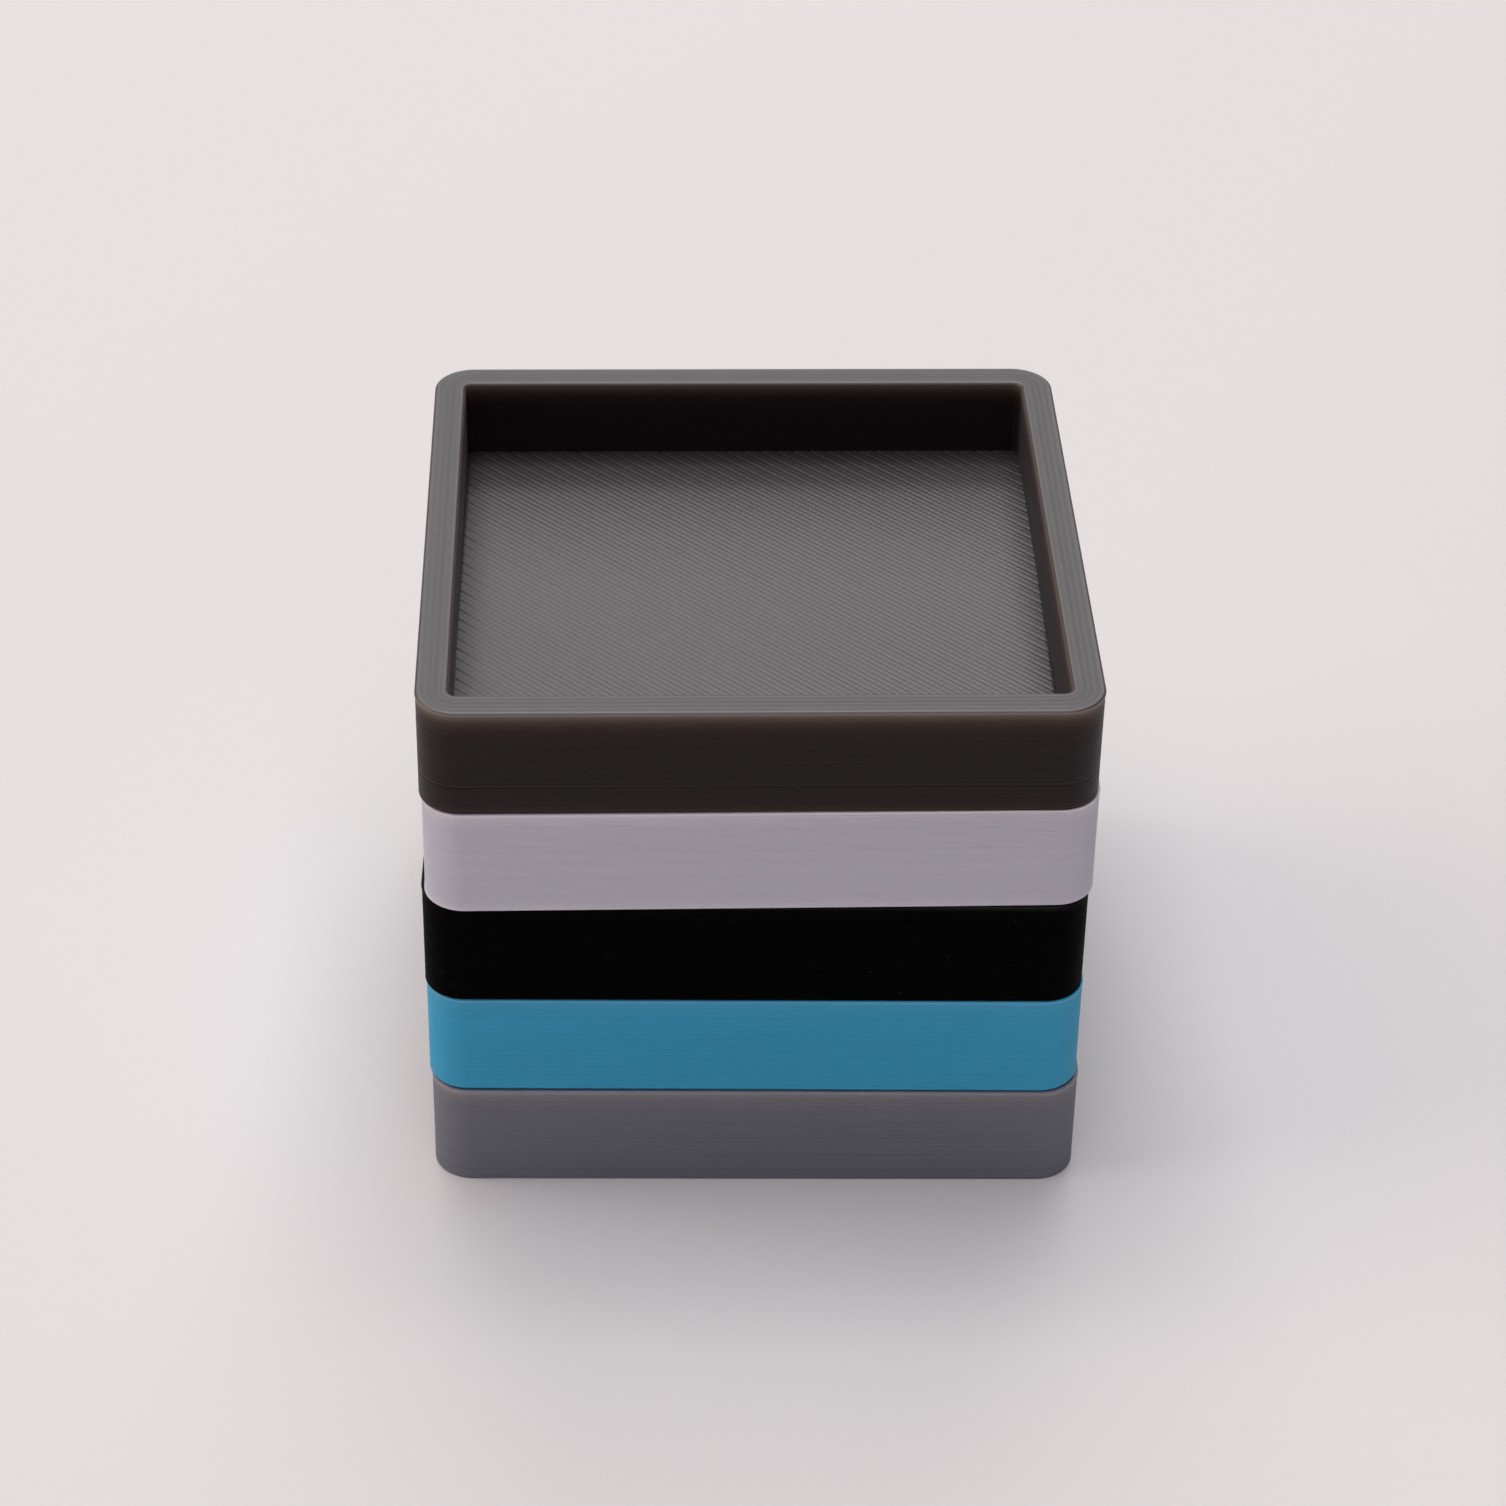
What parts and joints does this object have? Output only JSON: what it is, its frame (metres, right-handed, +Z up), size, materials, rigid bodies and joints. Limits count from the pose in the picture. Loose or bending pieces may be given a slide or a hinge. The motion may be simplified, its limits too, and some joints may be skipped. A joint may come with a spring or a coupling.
{
  "type": "stack of trays",
  "caption": "Small square trays with shallow square recesses and rounded corners, stacked one on another into a tower that lifts apart.",
  "frame": {"origin": "middle of the bottom tray's flat underside, on the surface the tower stands on", "axes": "+Z up through the tower; X and Y along the sides of the bottom tray, with -Y at the front"},
  "size_m": [0.0407, 0.0408, 0.0355],
  "materials": {
    "grey_plastic": "filament-printed plastic, 0.16 mm layers, satin on the beads",
    "blue_plastic": "filament-printed plastic, 0.16 mm layers, satin on the beads",
    "black_plastic": "filament-printed plastic, 0.16 mm layers, satin on the beads",
    "white_plastic": "filament-printed plastic, 0.16 mm layers, satin on the beads",
    "charcoal_plastic": "filament-printed plastic, 0.16 mm layers, satin on the beads"
  },
  "bodies": {
    "grey_tray": {"grey_tray": "grey_plastic"},
    "blue_tray": {"blue_tray": "blue_plastic"},
    "black_tray": {"black_tray": "black_plastic"},
    "white_tray": {"white_tray": "white_plastic"},
    "charcoal_tray": {"charcoal_tray": "charcoal_plastic"}
  },
  "joints": [
    {"name": "blue_tray_lift", "type": "slide", "parent": "grey_tray", "child": "blue_tray", "axis": [0, 0, 1], "range_m": [0, 0.03]},
    {"name": "black_tray_lift", "type": "slide", "parent": "blue_tray", "child": "black_tray", "axis": [0, 0, 1], "range_m": [0, 0.03]},
    {"name": "white_tray_lift", "type": "slide", "parent": "black_tray", "child": "white_tray", "axis": [0, 0, 1], "range_m": [0, 0.03]},
    {"name": "charcoal_tray_lift", "type": "slide", "parent": "white_tray", "child": "charcoal_tray", "axis": [0, 0, 1], "range_m": [0, 0.03]}
  ]
}
